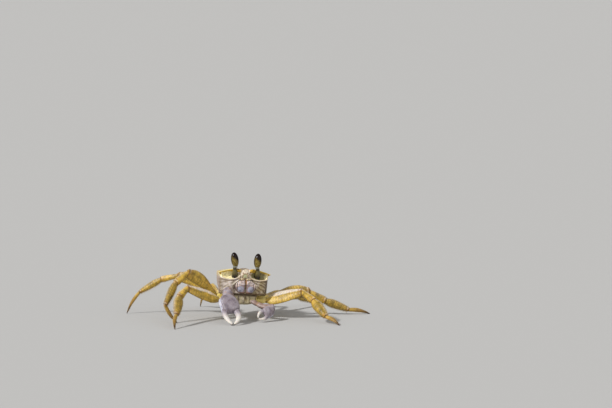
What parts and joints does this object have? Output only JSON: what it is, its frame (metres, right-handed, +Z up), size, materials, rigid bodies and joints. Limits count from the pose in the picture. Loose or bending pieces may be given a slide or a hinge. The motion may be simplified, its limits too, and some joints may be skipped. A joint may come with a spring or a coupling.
{
  "type": "ghost crab",
  "caption": "Life-size still model of a ghost crab standing on its leg tips: boxy shell, tall stalked eyes, long flat legs and two unequal claws.",
  "frame": {"origin": "on the floor, under the middle of the bounding box", "axes": "+Z up, the crab faces -Y, and +X is the crab's own left; the long spread of the legs lies along X"},
  "size_m": [0.201, 0.1382, 0.0572],
  "materials": {
    "back_shell": "satin sandy yellow shell with fine grains",
    "leg_shell": "satin amber shell with fine ridges and bristles",
    "pale_shell": "satin cream shell",
    "claw_shell": "satin lilac-white shell with fine beads",
    "eyestalk": "satin olive skin",
    "eye": "glossy, black above and olive gold below"
  },
  "bodies": {
    "root": {"back_shell": "back_shell", "breastplate": "pale_shell", "tail_flap": "pale_shell", "mouthplate_l": "pale_shell", "eyestalk_l": "eyestalk", "eye_l": "eye", "feeler_l": "pale_shell", "mouthplate_r": "pale_shell", "eyestalk_r": "eyestalk", "eye_r": "eye", "feeler_r": "pale_shell", "hip_r1": "leg_shell", "thigh_r1": "leg_shell", "knee_r1": "leg_shell", "shin_r1": "leg_shell", "toe_r1": "leg_shell", "hip_r2": "leg_shell", "thigh_r2": "leg_shell", "knee_r2": "leg_shell", "shin_r2": "leg_shell", "toe_r2": "leg_shell", "hip_r3": "leg_shell", "thigh_r3": "leg_shell", "knee_r3": "leg_shell", "shin_r3": "leg_shell", "toe_r3": "leg_shell", "hip_r4": "leg_shell", "thigh_r4": "leg_shell", "knee_r4": "leg_shell", "shin_r4": "leg_shell", "toe_r4": "leg_shell", "hip_l1": "leg_shell", "thigh_l1": "leg_shell", "knee_l1": "leg_shell", "shin_l1": "leg_shell", "toe_l1": "leg_shell", "hip_l2": "leg_shell", "thigh_l2": "leg_shell", "knee_l2": "leg_shell", "shin_l2": "leg_shell", "toe_l2": "leg_shell", "hip_l3": "leg_shell", "thigh_l3": "leg_shell", "knee_l3": "leg_shell", "shin_l3": "leg_shell", "toe_l3": "leg_shell", "hip_l4": "leg_shell", "thigh_l4": "leg_shell", "knee_l4": "leg_shell", "shin_l4": "leg_shell", "toe_l4": "leg_shell", "arm_r": "claw_shell", "wrist_r": "claw_shell", "palm_r": "claw_shell", "finger_r": "claw_shell", "arm_l": "claw_shell", "wrist_l": "claw_shell", "palm_l": "claw_shell", "finger_l": "claw_shell"}
  },
  "joints": []
}
